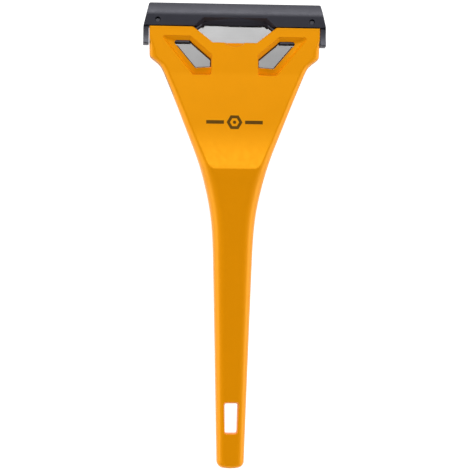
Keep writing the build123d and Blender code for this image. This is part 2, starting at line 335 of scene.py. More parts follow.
class Finish:
    """A material under construction, with one Principled shader."""

    def __init__(self, name):
        self.material = bpy.data.materials.new(name)
        self.material.use_nodes = True
        self.tree = self.material.node_tree
        self.shader = self.tree.nodes["Principled BSDF"]
        self.place = self.node("ShaderNodeTexCoord").outputs["Object"]

    def node(self, kind, settings=None, values=None):
        """A node of this kind. Its settings come first, then its sockets' values or links."""
        made = self.tree.nodes.new(kind)
        for key, value in (settings or {}).items():
            setattr(made, key, value)
        for key, value in (values or {}).items():
            self.feed(made.inputs[key], value)
        return made

    def feed(self, socket, value):
        """Links a wire or a socket to the socket, or sets its value."""
        if isinstance(value, Wire):
            value = value.socket
        if isinstance(value, bpy.types.NodeSocket):
            self.tree.links.new(value, socket)
        else:
            socket.default_value = value

    def set(self, **values):
        """Sets the shader's sockets. base_color stands for Base Color."""
        for key, value in values.items():
            words = [word.upper() if word == "ior" else word.capitalize() for word in key.split("_")]
            self.feed(self.shader.inputs[" ".join(words)], value)

    def axes(self):
        """The three coordinates of the point, in metres."""
        made = self.node("ShaderNodeSeparateXYZ", None, {"Vector": self.place})
        return [Wire(self, made.outputs[name]) for name in "XYZ"]

    def scaled(self, factors):
        """The place with each axis multiplied, to stretch a pattern."""
        values = {"Vector": self.place, "Scale": factors}
        return self.node("ShaderNodeMapping", {"vector_type": "POINT"}, values).outputs["Vector"]

    def noise(self, scale, detail=2.0, roughness=0.5, place=None, distortion=0.0):
        """Cloudy noise, from 0 to 1."""
        made = self.node(
            "ShaderNodeTexNoise", {"noise_dimensions": "3D"},
            {
                "Vector": place or self.place, "Scale": scale, "Detail": detail,
                "Roughness": roughness, "Distortion": distortion,
            },
        )
        return Wire(self, made.outputs["Fac"])

    def cells(self, scale):
        """Distance to the nearest of scattered points."""
        made = self.node("ShaderNodeTexVoronoi", {"feature": "F1"}, {"Vector": self.place, "Scale": scale})
        return Wire(self, made.outputs["Distance"])

    def mix(self, share, low, high):
        """The colour low where share is 0 and high where it is 1."""
        made = self.node("ShaderNodeMix", {"data_type": "RGBA"}, {"Factor": share, 6: low, 7: high})
        return made.outputs[2]

    def bump(self, height, strength, distance, under=None):
        """A normal tilted by the height, over another normal if there is one."""
        values = {"Height": height, "Strength": strength, "Distance": distance}
        if under is not None:
            values["Normal"] = under
        return self.node("ShaderNodeBump", None, values).outputs["Normal"]


def rgba(colour):
    """The colour with full alpha."""
    return (*colour, 1.0)


def shift(colour, factor):
    """The colour made brighter or darker."""
    return rgba([min(1.0, c * factor) for c in colour])


# ---------------------------------------------------------------- materials

HEAD_SHADE_V = 17.2  # the blade is painted darker below this, as painted shade from the head
# the printed mark: its middle, the hexagon's size, line and core, how soft the ink's edge is, the bars
MARK_Y, MARK_HALF = 68.8, 4.2
MARK_LINE, MARK_CORE, MARK_SOFT = 1.8, 1.0, 0.2
BAR_HALF, BAR_START, BAR_END = 1.1, 6.4, 17.2
MARK_ABOVE = 0.009  # the mark is only on surfaces above this, in metres
WHITE = (1.0, 1.0, 1.0, 1.0)


def printed_mark(f):
    """Share of ink of the mark printed on the panel: a hexagon with a light core, between two bars. The
    hexagon is where the largest of its three edge distances is under its size."""
    x, y, z = f.axes()
    x, y = x * 1000.0, y * 1000.0 - MARK_Y
    across = x.sum_with("ABSOLUTE")
    along = y.sum_with("ABSOLUTE")
    hexagon = along.sum_with("MAXIMUM", across * 0.866 + along * 0.5)
    emblem = (1.0 - hexagon.above(MARK_HALF, MARK_SOFT)) * hexagon.above(MARK_HALF - MARK_LINE, MARK_SOFT)
    core = 1.0 - hexagon.above(MARK_CORE, MARK_SOFT)
    length = across.above(BAR_START, MARK_SOFT) * (1.0 - across.above(BAR_END, MARK_SOFT))
    bars = (1.0 - along.above(BAR_HALF, MARK_SOFT)) * length
    return (emblem + core + bars).clamped() * z.above(MARK_ABOVE, 0.0005)


def level_over_blade(f):
    """The w of a point in millimetres: (y - head y) * sin(tilt) + (z - blade z) * cos(tilt)."""
    _, y, z = f.axes()
    along = (y * 1000.0 - HEAD_Y) * math.sin(HEAD_TILT)
    return along + (z * 1000.0 - BLADE_FACE_Z) * math.cos(HEAD_TILT)


def orange_plastic(settings):
    """Satin moulded plastic: a very fine spark texture, slow unevenness from the mould, faint mottling,
    a dark printed mark, and painted shade on the low walls of the openings next to the blade."""
    f = Finish("orange_plastic")
    colour = tuple(settings.colour)
    ink = printed_mark(f)
    low = level_over_blade(f).sum_with("ABSOLUTE")
    # painted shade: the openings' walls low over the blade are darkened, standing in for the shade in the gap
    # between plate and blade
    gap_shade_mask = (1.0 - low.above(1.2, 0.5)) * f.axes()[1].above(0.085, 0.002)
    painted_gap_shade = gap_shade_mask * (f.noise(700.0, 2.0) * 0.5 + 0.65)
    mottle = f.noise(90.0, 3.0, 0.6)
    speckle = f.noise(2600.0, 2.0, 0.6)
    share = (mottle * 0.7 + speckle * 0.3 - 0.2).clamped()
    f.set(
        base_color=f.mix(
            (ink + painted_gap_shade).clamped(), f.mix(share, shift(colour, 0.955), shift(colour, 1.035)),
            rgba(settings.ink_colour),
        ),
        roughness=(f.noise(420.0, 3.0) * 0.16 + settings.roughness - 0.08 + ink * 0.1).clamped(),
        specular_ior_level=settings.gloss,
        specular_tint=rgba(settings.tint),
        ior=1.5,
    )
    ripple = f.bump(f.noise(38.0, 1.0), 0.25, 0.0006)
    f.set(normal=f.bump(f.noise(3800.0, 2.0, 0.55), 0.10, 0.00012, ripple))
    return f.material


def charcoal_plastic(settings):
    """Matt moulded plastic of a slightly blue black, with a spark-eroded grain and faint clouds."""
    f = Finish("charcoal_plastic")
    colour = tuple(settings.colour)
    grain = f.cells(1900.0)
    cloud = f.noise(130.0, 3.0, 0.6)
    share = (cloud * 0.6 + grain * 0.5 - 0.15).clamped()
    f.set(
        base_color=f.mix(share, shift(colour, 0.82), shift(colour, 1.2)),
        roughness=(grain * 0.12 + cloud * 0.08 + settings.roughness - 0.1).clamped(),
        specular_ior_level=settings.gloss,
        specular_tint=rgba(settings.tint),
        ior=1.5,
    )
    ripple = f.bump(f.noise(60.0, 1.0), 0.2, 0.0004)
    f.set(normal=f.bump(grain, 0.16, 0.0001, ripple))
    return f.material


def blade_steel(settings):
    """Rolled spring steel, brushed across the blade, with a brighter ground bevel whose fine grooves run
    towards the cutting edge, an oily tint here and there, and painted shade darkening it where the head covers
    it."""
    f = Finish("blade_steel")
    colour = tuple(settings.colour)
    y = f.axes()[1]
    bevel = y.above(HEAD_Y * MM + settings.bevel_start, 0.0002)
    brushed = f.noise(1.0, 3.0, 0.6, place=f.scaled((35.0, 5200.0, 900.0)))
    ground = f.noise(1.0, 2.0, 0.6, place=f.scaled((6500.0, 60.0, 900.0)))
    lines = brushed * (1.0 - bevel) + ground * bevel
    oil = f.noise(55.0, 3.0, 0.6, distortion=0.6).above(0.58, 0.25)
    share = (lines * 0.75 + oil * 0.3).clamped()
    # painted shade: the blade is darkened under the head, standing in for the shade in the head's openings
    painted_head_shade = 1.0 - y.above((HEAD_Y + HEAD_SHADE_V) * MM, 0.0025)
    unshaded_steel = f.mix(share, shift(colour, 0.9), shift(colour, 1.08))
    f.set(
        base_color=f.mix(painted_head_shade * 0.6, unshaded_steel, shift(colour, 0.65)),
        metallic=1.0,
        roughness=(lines * 0.14 + settings.roughness + oil * 0.05 - bevel * 0.08).clamped(),
    )
    f.set(normal=f.bump(lines, 0.12, 0.00006))
    return f.material


def zinc_steel(settings):
    """Bright zinc plate: fine turning marks and a faint cloudiness."""
    f = Finish("zinc_steel")
    colour = tuple(settings.zinc)
    cloud = f.noise(500.0, 4.0, 0.6)
    fine = f.noise(4200.0, 2.0)
    f.set(
        base_color=f.mix(cloud, shift(colour, 0.86), shift(colour, 1.12)),
        metallic=1.0,
        roughness=(cloud * 0.18 + fine * 0.08 + 0.2).clamped(),
    )
    f.set(normal=f.bump(fine, 0.1, 0.00005))
    return f.material


def brass(settings):
    """Turned brass with a slightly dull skin."""
    f = Finish("brass")
    colour = tuple(settings.brass)
    cloud = f.noise(700.0, 3.0, 0.6)
    turned_marks = f.noise(1.0, 2.0, place=f.scaled((300.0, 300.0, 9000.0)))
    f.set(
        base_color=f.mix(cloud, shift(colour, 0.8), shift(colour, 1.1)),
        metallic=1.0,
        roughness=(cloud * 0.15 + turned_marks * 0.1 + 0.24).clamped(),
    )
    f.set(normal=f.bump(turned_marks, 0.15, 0.00005))
    return f.material


def floor_paper(settings):
    """White paper that gives back a little light of its own, so that it stays pale."""
    f = Finish("floor_paper")
    fibre = f.noise(900.0, 3.0)
    f.set(
        base_color=f.mix(fibre, (0.40, 0.40, 0.40, 1.0), (0.44, 0.44, 0.44, 1.0)),
        roughness=0.9,
        specular_ior_level=0.1,
        emission_color=WHITE,
        emission_strength=settings.floor_glow,
    )
    return f.material


# ---------------------------------------------------------------- handle

HALF_LENGTH = 141.5
# half widths of the moulding at stations along y
OUTLINE = [
    (127.4, 52.15), (110.4, 51.85), (109.0, 51.6), (107.6, 50.3), (105.2, 47.2), (103.4, 45.4),
    (101.0, 43.9), (96.0, 41.7), (57.0, 26.1), (52.2, 24.2), (42.4, 20.7), (32.6, 17.9), (22.9, 15.6),
    (13.1, 13.8), (3.4, 12.7), (-8.0, 12.0), (-20.0, 11.6), (-136.0, 8.3),
]
TAIL_CORNER = 4.5
TAIL_TOP_ROUND = 2.4
TAIL_BELLY_ROUND = 3.0
FRONT_ROUND = 0.7
FOOT_ROUND = 0.8
PLATE_W = 3.9  # the head's front face over the blade's
BREAK_Y = 98.5  # below this the front panel is a touch steeper
PANEL_EXTRA = math.tan(math.radians(1.7))
RAMP_Y = 56.5
CREST_Y = 40.2
CREST_W = 8.2
RAMP_FOOT = 1.7  # how softly panel and ramp meet
BELLY = [(-HALF_LENGTH, 0.0), (-60.0, 2.2), (40.0, 5.0), (72.0, 4.9), (100.0, 3.1), (127.4, 1.2)]
# how far the rounded sides reach in from the outline, and how far they reach down
SIDE_REACH = [
    (127.4, 0.8), (121.5, 0.9), (116.0, 3.6), (109.5, 7.2), (105.0, 6.0), (96.0, 6.0), (60.0, 6.4),
    (45.0, 7.6), (30.0, 9.0), (10.0, 8.4), (-20.0, 7.6), (-136.0, 5.6),
]
SIDE_DROP = [
    (127.4, 1.0), (121.5, 1.2), (114.0, 3.6), (100.0, 4.2), (60.0, 6.0), (30.0, 7.5), (-20.0, 6.4),
    (-136.0, 5.0),
]
RIM_SHARE = [(127.4, 0.1), (121.0, 0.2), (112.0, 0.7), (100.0, 1.0), (40.0, 1.0)]
RIM_LIFT = 0.6  # how far the rounded rim stands over the sunk panel
RIM_RISE = 4.3  # length over which it rises to that, beyond the ridge
# the handle's ridge line: (y, z below its top)
CROWN = [
    (40.2, 0.0), (36.5, 0.22), (30.0, 0.82), (20.0, 1.62), (0.0, 3.0), (-40.0, 5.25), (-90.0, 7.6),
    (-HALF_LENGTH, 9.5),
]


def half_width(y):
    """Half of the moulding's width: a smooth curve through the outline, with round tail corners."""
    flat = through(OUTLINE, y)
    past = np.clip((-HALF_LENGTH + TAIL_CORNER) - y, 0.0, TAIL_CORNER)
    return flat - TAIL_CORNER + np.sqrt(np.maximum(TAIL_CORNER**2 - past**2, 0.0))


def panel_height(y):
    """The front panel and the ramp behind it: two straight runs below the plate, joined softly."""
    plate = head_height(y, PLATE_W)
    panel = plate + np.maximum(BREAK_Y - y, 0.0) * PANEL_EXTRA
    foot = head_height(RAMP_Y, PLATE_W) + (BREAK_Y - RAMP_Y) * PANEL_EXTRA
    top = head_height(CREST_Y, CREST_W)
    ramp = foot + (RAMP_Y - y) * (top - foot) / (RAMP_Y - CREST_Y)
    return -soft_min(-panel, -ramp, RAMP_FOOT)


def crown_height(y):
    """The handle's ridge line: a smooth curve down from the ridge to the tail."""
    stations = [(station, -drop) for station, drop in CROWN]
    return panel_height(np.array(CREST_Y)) + through(stations, y)


def front_height(x, y):
    """The moulding's front: the lower of the sunk panel and a D-shaped bar with rounded sides. The bar
    rises over the panel by lift * (1 - (1 - t)^2) just beyond the ridge."""
    reach, drop = through(SIDE_REACH, y), through(SIDE_DROP, y)
    t = np.clip((y - CREST_Y) / RIM_RISE, 0.0, 1.0)
    lift = RIM_LIFT * (1.0 - (1.0 - t) ** 2) * through(RIM_SHARE, y)
    crown = np.where(y > CREST_Y, panel_height(y) + lift, crown_height(y))
    out = np.clip((np.abs(x) - (half_width(y) - reach)) / reach, 0.0, 1.0)
    bar = crown - drop * (1.0 - np.sqrt(1.0 - out**2))
    panel = panel_height(y) + np.where(y > CREST_Y - 1.0, 0.0, 5.0)  # out of the way on the handle
    return soft_min(bar, panel, 0.05)


def handle_rings():
    """Sections of the moulding from tail to front edge. Each runs over the front from -x to +x, then
    down the side and back under the belly."""
    y = np.concatenate([
        -HALF_LENGTH + 5.0 * (1.0 - np.cos(np.linspace(0.0, math.pi / 2, 18))),
        np.arange(-135.5, 34.0, 1.15), np.arange(34.0, 64.0, 0.45), np.arange(64.0, 98.0, 0.9),
        np.arange(98.0, 124.0, 0.42), np.linspace(124.0, 127.3, 14),
    ])
    u = np.sin(np.linspace(-math.pi / 2, math.pi / 2, 121))
    half = half_width(y)[:, None]
    x = u * half
    yy = np.broadcast_to(y[:, None], x.shape)
    top = front_height(x, yy)
    top = top - round_off(y[-1] - y[:, None], FRONT_ROUND)
    top = top - round_off(y[:, None] + HALF_LENGTH, TAIL_TOP_ROUND)
    belly = through(BELLY, y)[:, None] + round_off(y[:, None] + HALF_LENGTH, TAIL_BELLY_ROUND)
    turn = np.linspace(0.0, math.pi / 2, 4)[None, :]
    side_x = half - FOOT_ROUND * (1.0 - np.cos(turn))
    side_z = belly + FOOT_ROUND * (1.0 - np.sin(turn))
    under = np.linspace(1.0, -1.0, 9)[None, 1:-1] * (half - FOOT_ROUND)
    ring_x = np.concatenate([x, side_x, under, -side_x[:, ::-1]], 1)
    ring_z = np.concatenate([top, side_z, np.broadcast_to(belly, under.shape), side_z[:, ::-1]], 1)
    lean = ease((y[:, None] - 70.0) / 40.0) * math.tan(HEAD_TILT)
    ring_y = y[:, None] + (ring_z - head_height(y[:, None], 0.0)) * lean
    return np.stack([ring_x, ring_y, ring_z], -1)


def round_off(distance, radius):
    """How far a round of this radius falls away at a distance from the edge."""
    inside = np.clip(radius - distance, 0.0, radius)
    return radius - np.sqrt(radius**2 - inside**2)


NOTCH = [(25.7, 27.3), (13.4, 17.6)]
WINDOW = [(37.3, 18.4), (27.7, 18.4), (14.6, 7.2), (14.6, 2.9), (23.9, 2.3)]
WINDOW_RIM = [(45.0, 21.2), (27.0, 21.2), (14.0, 9.9), (14.5, -2.6), (25.6, -2.6)]
WINDOW_LIP = 1.9
# where the slope down from the rim ends, as (x, v, w)
WINDOW_SHELF = [
    (42.3, 19.7, 2.45), (27.4, 19.7, 2.45), (14.45, 8.8, 2.6), (14.55, -1.9, 1.3), (25.2, -1.9, 1.3),
]
# the shallow recess under the notch: half width and depth of its mouth and of its floor, and its lowest w
RECESS_MOUTH, RECESS_FLOOR, RECESS_W = (7.0, 3.8), (5.6, 2.6), 1.6
SLOT = [(4.1, -101.9), (3.75, -120.2)]
SEAT_GAP = 0.3
BLADE_OUTLINE = [(50.0, 38.4), (50.0, 11.5), (38.0, -1.6)]
CLAMP_OUTLINE = [(49.6, 26.6), (49.6, 10.6), (37.6, -2.0), (30.4, -20.0)]
LIP_POCKET = [(22.2, 29.0), (22.2, 24.4), (26.2, 21.4), (26.2, 15.9), (50.0, 15.9), (50.0, 29.0)]
LIP_POCKET_W = 1.8
SCREW_SPOTS = {"centre": (0.0, 7.0), "left": (-23.0, -12.0), "right": (23.0, -12.0)}
PEG_SPOTS = [(42.0, 9.0), (-42.0, 9.0)]
BAYS = (-92.0, 72.0, 7)  # first and last y, and how many
LOWEST_Y = 62.0  # where the front is lowest between ramp and panel
INSERT_RADIUS, INSERT_LENGTH = 2.9, 3.0
WALL, RIB, SKIN = 2.6, 1.8, 3.0


def front_cutters():
    """What is cut out of the moulding from the front: notch, windows, recess under the notch, slot."""
    (top_x, top_v), (floor_x, floor_v) = NOTCH
    slope = (top_x - floor_x) / (top_v - floor_v)
    notch = both_sides([(top_x + 12.0 * slope, top_v + 12.0), (floor_x, floor_v)])
    yield stack("notch", [(notch, -REACH), (notch, 3.3), (grown(notch, 1.2), 4.6)])
    for turn in (list, mirrored):
        opening = rounded(turn(WINDOW), 0.9)
        shelf = rounded([(x, v) for x, v, w in WINDOW_SHELF], 1.0)
        shelf_w = np.repeat([w for x, v, w in WINDOW_SHELF], ARC_POINTS)
        if turn is mirrored:
            shelf, shelf_w = shelf[::-1] * (-1.0, 1.0), shelf_w[::-1]
        rim = rounded(turn(WINDOW_RIM), 1.1)
        levels = [
            (grown(opening, -0.35), -0.5), (grown(opening, -0.35), 0.0),
            (grown(opening, 0.4), WINDOW_LIP - 0.6), (grown(opening, 0.5), WINDOW_LIP),
            (shelf, shelf_w), (rim, PLATE_W - 0.35), (grown(rim, 0.15), PLATE_W),
            (grown(rim, 0.5), PLATE_W + 0.3), (grown(rim, 0.5), PLATE_W + 4.0),
        ]
        yield stack("window", levels)
    arc = np.linspace(0.0, math.pi, 25)
    mouth, floor = (
        np.stack([half * np.cos(arc), floor_v + 1.0 - depth * np.sin(arc)], 1)
        for half, depth in (RECESS_MOUTH, RECESS_FLOOR)
    )
    yield stack("recess", [(floor, RECESS_W), (mouth, PLATE_W + 0.1), (mouth, PLATE_W + 2.0)])
    slot = rounded(both_sides(SLOT), 1.3)
    yield stack(
        "slot",
        [
            (grown(slot, 1.3), -2.0), (slot, 1.3), (slot, 9.6), (grown(slot, 0.25), 10.3),
            (grown(slot, 0.8), 11.3), (grown(slot, 1.4), 14.0),
        ],
        on_table,
    )


def back_cutters():
    """What is cut out from the back: seats for blade, clamp and guard lip, blind holes, open bays."""
    blade = grown(both_sides(BLADE_OUTLINE), SEAT_GAP)
    yield stack("blade_seat", [(blade, -REACH), (blade, 0.0)])
    clamp = rounded(grown(both_sides(CLAMP_OUTLINE), SEAT_GAP), 1.2)
    yield stack("clamp_seat", [(clamp, -REACH), (clamp, -BLADE_THICK)])
    for turn in (list, mirrored):
        yield stack("lip_pocket", [(turn(LIP_POCKET), -0.4), (turn(LIP_POCKET), LIP_POCKET_W)])
    for spot in SCREW_SPOTS.values():
        hole = circle(spot, INSERT_RADIUS + 0.02)
        yield stack("boss_hole", [(hole, -2.0), (hole, INSERT_LENGTH)])
    low, high, count = BAYS
    for start in np.linspace(low, high, count, endpoint=False):
        end = start + (high - low) / count - RIB
        stations = [y for y in (start, end, LOWEST_Y) if y <= LOWEST_Y]
        roof = float(min(front_height(0.0, np.array(y)) for y in stations)) - SKIN
        for side in (1.0, -1.0):
            outline = [
                (side * RIB / 2, start), (side * (half_width(np.array(start)) - WALL), start),
                (side * (half_width(np.array(end)) - WALL), end), (side * RIB / 2, end),
            ]
            inner = rounded(outline, 1.0)
            levels = [(grown(inner, 0.3), -1.0), (inner, roof - 0.5), (grown(inner, -0.4), roof)]
            yield stack("bay", levels, on_table)


# ---------------------------------------------------------------- guard and clamp

GUARD_HALF = 55.85
GUARD_TOP_HALF = 52.4
GUARD_BACK_V, GUARD_TOP_V = 27.6, 41.5
GUARD_PROFILE = [(41.5, 3.8), (36.3, 5.6), (33.6, 5.36), (27.6, 4.72)]
GUARD_SHIN_V, GUARD_NOSE_W = 39.4, -2.6
# side view of an arm: a bar whose end rises to a small grip
ARM_PROFILE = [
    (29.0, -4.0), (29.0, 3.3), (21.6, 2.4), (17.4, 3.42), (16.7, 3.4), (16.2, 2.6), (16.2, -3.2),
    (17.0, -4.0),
]
# a small round at each top corner, as (x, v) from the corner
GUARD_CORNER = [(0.25, -1.0), (-0.05, -0.3), (-0.8, 0.0)]
HEAD_HALF = 52.15
ARM_GAP = 0.3
LIP_LEVELS = (0.3, 1.5)
LIP_OUTLINE = [(19.4, 27.9), (26.8, 22.2), (26.8, 16.8), (49.6, 16.8), (49.6, 31.0), (19.4, 31.0)]
GUARD_NOTCH = [(19.1, 32.2), (29.0, 24.0)]
LIP_RELIEF = [(18.2, 28.8), (19.9, 27.0)]
BLADE_SLOT = [(-50.3, 12.0), (50.3, 12.0), (50.3, 39.0), (-50.3, 39.0)]
SCREW_UNDER_W, SCREW_TIP_W = -3.6, 2.5
HEAD_RADIUS, HEAD_DOME = 4.0, 1.4
THREAD_RADIUS, THREAD_DEPTH = 1.95, 0.35
CROSS = (2.2, 0.5)
CLAMP_POCKETS = [
    [(5.5, -2.6), (14.5, -2.6), (14.5, -17.8), (5.5, -17.8)],
    [(8.5, 1.5), (33.5, 1.5), (37.0, 5.5), (37.0, 14.5), (8.5, 14.5)],
    [(4.0, 17.5), (46.5, 17.5), (46.5, 24.0), (4.0, 24.0)],
]
POCKET_DEPTH = 0.9
CLAMP_BACK_W = -BLADE_THICK - 3.2
SEAT_W, SEAT_RADIUS = CLAMP_BACK_W + 1.2, 4.9
SCREW_HOLE, PEG_HOLE = 2.3, 1.8
DIMPLE = (47.1, 30.9)
DIMPLE_RADIUS = 1.8


def beam(name, profile, start, end):
    """A solid of constant (v, w) profile between two places across, the greater one first."""
    v, w = counterclockwise(profile).T
    return make_object(name, *stacked([in_head(x, v, w) for x in (start, end)]))


def guard_shape():
    """A bar of constant profile whose back lies in the table's plane, with an arm down each side, slanted
    ends, a thin lip in behind the head's plate, a slot for the blade and a flared notch."""
    back = [
        (v, v * math.tan(HEAD_TILT) - BLADE_FACE_Z / math.cos(HEAD_TILT))
        for v in (GUARD_BACK_V, GUARD_SHIN_V)
    ]
    profile = GUARD_PROFILE + back + [(GUARD_TOP_V, GUARD_NOSE_W)]
    obj = beam("blade_guard_shell", profile, GUARD_HALF, -GUARD_HALF)
    inner = HEAD_HALF + ARM_GAP
    for turn in (list, mirrored):
        outer, nearer = (GUARD_HALF, inner) if turn is list else (-inner, -GUARD_HALF)
        join(obj, beam("arm", ARM_PROFILE, outer, nearer))
        lip = turn(LIP_OUTLINE)
        join(obj, stack("lip", [(lip, LIP_LEVELS[0] - 0.2), (grown(lip, -0.9), LIP_LEVELS[1])]))
        corner = [(GUARD_TOP_HALF + x, GUARD_TOP_V + v) for x, v in GUARD_CORNER]
        end = turn([
            (GUARD_HALF, GUARD_BACK_V - 0.5), *corner, (corner[-1][0], REACH),
            (REACH + 10.0, REACH), (REACH + 10.0, GUARD_BACK_V - 0.5),
        ])
        cut(obj, stack("end", [(end, -20.0), (end, 20.0)]))
    cut(obj, stack("blade_slot", [(BLADE_SLOT, -BLADE_THICK - 0.3), (BLADE_SLOT, LIP_LEVELS[0])]))
    relief = both_sides(LIP_RELIEF)
    cut(obj, stack("relief", [(relief, 0.0), (relief, 4.0)]))
    notch = both_sides(GUARD_NOTCH)
    levels = [
        (grown(notch, -1.5), LIP_LEVELS[1] - 0.12), (grown(notch, 0.1), 4.2), (grown(notch, 0.9), 6.6),
    ]
    cut(obj, stack("notch", levels))
    return obj


def dimple_shape(spot):
    """A shallow round hole whose floor is dished a little."""
    levels = [
        (circle(spot, DIMPLE_RADIUS - 0.5), 3.6), (circle(spot, DIMPLE_RADIUS - 0.2), 4.0),
        (circle(spot, DIMPLE_RADIUS), 8.0),
    ]
    return stack("dimple", levels)


def clamp_shape():
    """The plate that presses the blade home, with sunk screw seats, peg holes and pockets in its back."""
    plan = rounded(both_sides(CLAMP_OUTLINE), 1.5)
    low, high = CLAMP_BACK_W, -BLADE_THICK
    obj = stack("blade_clamp_plate", [(grown(plan, -0.5), low), (plan, low + 0.5), (plan, high - 0.2),
                                      (grown(plan, -0.2), high)])
    for spot in SCREW_SPOTS.values():
        mouth, seat = circle(spot, SEAT_RADIUS + 0.4), circle(spot, SEAT_RADIUS)
        cut(obj, stack("sink", [(mouth, -5.0), (seat, SEAT_W - 0.9), (seat, SEAT_W)]))
        hole = circle(spot, SCREW_HOLE)
        cut(obj, stack("hole", [(hole, -5.0), (hole, 1.0)]))
    for spot in PEG_SPOTS:
        hole = circle(spot, PEG_HOLE, 32)
        cut(obj, stack("hole", [(hole, -5.0), (hole, 1.0)]))
    for pocket in CLAMP_POCKETS:
        for turn in (list, mirrored):
            outline = rounded(turn(pocket), 1.2)
            levels = [
                (grown(outline, 0.15), low - 1.0), (outline, low), (grown(outline, -0.2), low + POCKET_DEPTH),
            ]
            cut(obj, stack("pocket", levels))
    return shade(obj, 30.0)


def screw_shape(settings, spot):
    """A pan-headed screw: its thread's radius falls by THREAD_DEPTH from a crest in a triangle wave of
    w / pitch minus the share of a turn, and runs out at both ends. A cross is cut into its head."""
    ends = np.linspace(SCREW_UNDER_W + 0.6, SCREW_TIP_W - 0.4, 72)
    shank = [(THREAD_RADIUS, w) for w in ends]
    dome = [
        (HEAD_RADIUS * math.sin(a), SCREW_UNDER_W - 0.9 - HEAD_DOME * math.cos(a))
        for a in np.linspace(0.15, math.pi / 2, 9)
    ]
    collar = [(HEAD_RADIUS, SCREW_UNDER_W), (THREAD_RADIUS, SCREW_UNDER_W)]
    profile = dome + collar + shank + [(1.2, SCREW_TIP_W)]

    def threaded(radius, angle, w):
        phase = (w * MM / settings.pitch - angle / (2.0 * math.pi)) % 1.0
        wave = np.abs(2.0 * phase - 1.0)
        run = ease((w - SCREW_UNDER_W - 0.5) / 0.5) * ease((SCREW_TIP_W - w) / 0.4)
        return radius - THREAD_DEPTH * wave * run * (radius <= THREAD_RADIUS)

    obj = turned("screw", profile, spot, 40, threaded)
    for half in (CROSS, CROSS[::-1]):
        mouth = np.array(spot) + np.array([(-1, -1), (1, -1), (1, 1), (-1, 1)]) * half
        levels = [(mouth, -9.0), (mouth, SCREW_UNDER_W - 1.9), (grown(mouth, -0.2), SCREW_UNDER_W - 0.9)]
        cut(obj, stack("cross", levels))
    return shade(obj, 35.0)


def washer_shape(spot):
    """A flat ring with chamfered rims."""
    low, high = SCREW_UNDER_W, SCREW_UNDER_W + 0.8
    profile = [
        (2.15, low + 0.1), (2.25, low), (4.35, low), (4.5, low + 0.15), (4.5, high - 0.15), (4.35, high),
        (2.25, high), (2.15, high - 0.1),
    ]
    return shade(ring_solid("washer", profile, spot), 25.0)


def insert_shape(spot, foot):
    """A threaded insert: its outside is knurled by a product of two opposite helical waves, apart from
    a plain groove half way up."""
    w = np.linspace(0.0, INSERT_LENGTH, 31)
    outside = [(INSERT_RADIUS - (0.25 if 1.2 < level < 1.8 else 0.0), level) for level in w]
    section = [(2.0, 0.2), (2.2, 0.0)] + outside + [(2.2, INSERT_LENGTH), (2.0, INSERT_LENGTH - 0.2)]
    profile = [(r, foot + level) for r, level in section]

    def knurled(radius, angle, level):
        ridges = np.sin(22.0 * angle + 5.0 * level) * np.sin(22.0 * angle - 5.0 * level)
        return radius - 0.08 * (1.0 - np.abs(ridges)) * (radius > 2.85)

    return shade(ring_solid("insert", profile, spot, 132, knurled), 30.0)


# ---------------------------------------------------------------- settings

class HandleSettings(bpy.types.PropertyGroup):
    colour: bpy.props.FloatVectorProperty(
        name="Plastic colour", description="Colour of the orange moulding", subtype="COLOR",
        size=3, min=0.0, max=1.0, default=(0.95, 0.335, 0.001),
    )
    ink_colour: bpy.props.FloatVectorProperty(
        name="Ink colour", description="Colour of the printed mark", subtype="COLOR",
        size=3, min=0.0, max=1.0, default=(0.018, 0.008, 0.006),
    )
    roughness: bpy.props.FloatProperty(
        name="Roughness", description="How dull the satin surface is", subtype="FACTOR",
        min=0.0, max=1.0, default=0.40,
    )
    gloss: bpy.props.FloatProperty(
        name="Gloss", description="Strength of the surface's reflection", subtype="FACTOR",
        min=0.0, max=1.0, default=1.0,
    )
    tint: bpy.props.FloatVectorProperty(
        name="Gloss tint", description="Colour of the surface's reflection", subtype="COLOR",
        size=3, min=0.0, max=1.0, default=(1.0, 0.50, 0.03),
    )


class GuardSettings(bpy.types.PropertyGroup):
    colour: bpy.props.FloatVectorProperty(
        name="Guard colour", description="Colour of the guard and the clamp", subtype="COLOR",
        size=3, min=0.0, max=1.0, default=(0.014, 0.014, 0.023),
    )
    roughness: bpy.props.FloatProperty(
        name="Roughness", description="How dull the matt surface is", subtype="FACTOR",
        min=0.0, max=1.0, default=0.46,
    )
    gloss: bpy.props.FloatProperty(
        name="Gloss", description="Strength of the surface's reflection", subtype="FACTOR",
        min=0.0, max=1.0, default=0.62,
    )
    tint: bpy.props.FloatVectorProperty(
        name="Gloss tint", description="Colour of the surface's reflection", subtype="COLOR",
        size=3, min=0.0, max=1.0, default=(0.90, 0.90, 1.0),
    )
    edge_round: bpy.props.FloatProperty(
        name="Edge rounding", description="Width of the rounded edges", subtype="DISTANCE", unit="LENGTH",
        min=0.00005, max=0.0015, precision=5, default=0.00045,
    )


class BladeSettings(bpy.types.PropertyGroup):
    colour: bpy.props.FloatVectorProperty(
        name="Steel colour", description="Colour of the blade", subtype="COLOR",
        size=3, min=0.0, max=1.0, default=(0.348, 0.348, 0.35),
    )
    roughness: bpy.props.FloatProperty(
        name="Roughness", description="How dull the brushed steel is", subtype="FACTOR",
        min=0.0, max=1.0, default=0.28,
    )
    bevel_start: bpy.props.FloatProperty(
        name="Bevel start", description="Where along the head the ground bevel starts", subtype="DISTANCE",
        unit="LENGTH", default=0.0354,
    )


class FastenerSettings(bpy.types.PropertyGroup):
    zinc: bpy.props.FloatVectorProperty(
        name="Zinc colour", description="Colour of the screws and washers", subtype="COLOR",
        size=3, min=0.0, max=1.0, default=(0.66, 0.67, 0.68),
    )
    brass: bpy.props.FloatVectorProperty(
        name="Brass colour", description="Colour of the threaded inserts", subtype="COLOR",
        size=3, min=0.0, max=1.0, default=(0.72, 0.50, 0.20),
    )
    pitch: bpy.props.FloatProperty(
        name="Thread pitch", description="Advance of the thread in a turn", subtype="DISTANCE",
        unit="LENGTH", min=0.0002, max=0.002, precision=5, default=0.0007,
    )


